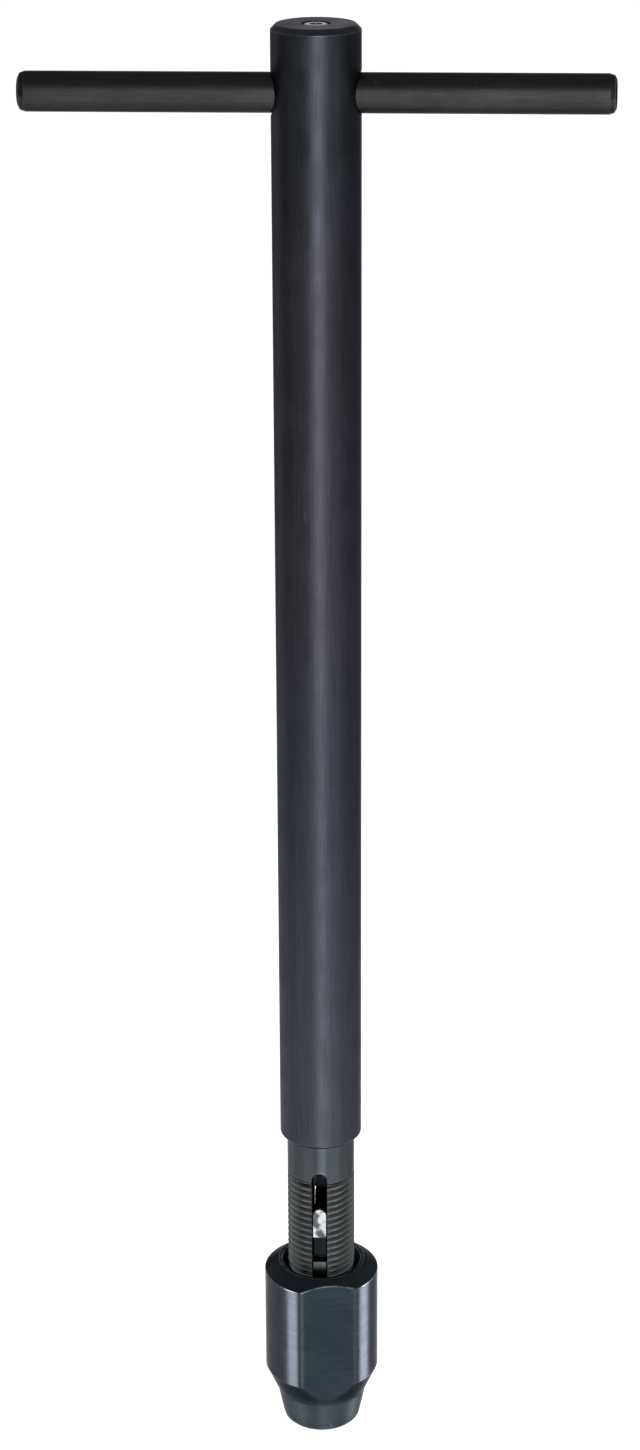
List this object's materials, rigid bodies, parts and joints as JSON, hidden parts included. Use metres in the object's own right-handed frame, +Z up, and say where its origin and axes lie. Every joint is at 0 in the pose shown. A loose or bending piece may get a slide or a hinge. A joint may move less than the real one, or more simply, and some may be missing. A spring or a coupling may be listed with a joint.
{
  "type": "tap wrench",
  "caption": "Long T-handle tap wrench: round shank with a sliding cross bar above and a slotted, threaded neck with spring-loaded jaws and a flatted nut below.",
  "frame": {"origin": "on the shank's axis at the chuck's mouth, the centre of the nut's lower end face, which is also the bottom centre of the whole tool", "axes": "+Z up the shank's axis towards the cross bar, X along the cross bar, -Y towards the side that the front jaw faces"},
  "size_m": [0.118, 0.0242, 0.318],
  "materials": {
    "black_oxide_steel": "black oxide, satin, with a slight blue tint and worn edges",
    "bar_steel": "black oxide, drawn bar, neutral grey",
    "nut_steel": "black oxide, semi-gloss, turned, with burnished lands",
    "bright_steel": "ground hardened steel",
    "spring_steel": "drawn spring wire"
  },
  "bodies": {
    "shank": {"shank": "black_oxide_steel", "detent_screw": "bright_steel", "detent_spring": "spring_steel"},
    "handle_bar": {"handle_bar": "bar_steel"},
    "detent_ball": {"detent_ball": "bright_steel"},
    "jaw_springs": {"jaw_spring_upper": "spring_steel", "jaw_spring_lower": "spring_steel"},
    "chuck_nut": {"chuck_nut": "nut_steel"},
    "jaw_front": {"jaw_front": "bright_steel"},
    "jaw_rear": {"jaw_rear": "bright_steel"}
  },
  "joints": [
    {"name": "bar_slide", "type": "slide", "parent": "shank", "child": "handle_bar", "axis": [1, 0, 0], "range_m": [-0.048, 0.048]},
    {"name": "detent_lift", "type": "slide", "parent": "shank", "child": "detent_ball", "axis": [0, 0, 1], "range_m": [0, 0.0008], "stiffness_N_per_m": 150, "springref_m": -0.004, "deforming": ["detent_spring"]},
    {"name": "nut_travel", "type": "slide", "parent": "shank", "child": "jaw_springs", "axis": [0, 0, 1], "range_m": [-0.003, 0.0085]},
    {"name": "nut_turn", "type": "hinge", "parent": "jaw_springs", "child": "chuck_nut", "pos_m": [0, 0, 0.03], "axis": [0, 0, 1], "range_deg": [-720, 2040]},
    {"name": "jaw_close", "type": "slide", "parent": "jaw_springs", "child": "jaw_front", "axis": [0, 1, 0], "range_m": [0, 0.002], "stiffness_N_per_m": 150, "springref_m": -0.002, "deforming": ["jaw_spring_upper", "jaw_spring_lower"]},
    {"name": "jaw_rear_close", "type": "slide", "parent": "jaw_springs", "child": "jaw_rear", "axis": [0, -1, 0], "range_m": [0, 0.002]}
  ],
  "couplings": [
    {"joint": "nut_turn", "follows": "nut_travel", "rad_per_m": 4188.8},
    {"joint": "jaw_rear_close", "follows": "jaw_close", "ratio": 1}
  ]
}
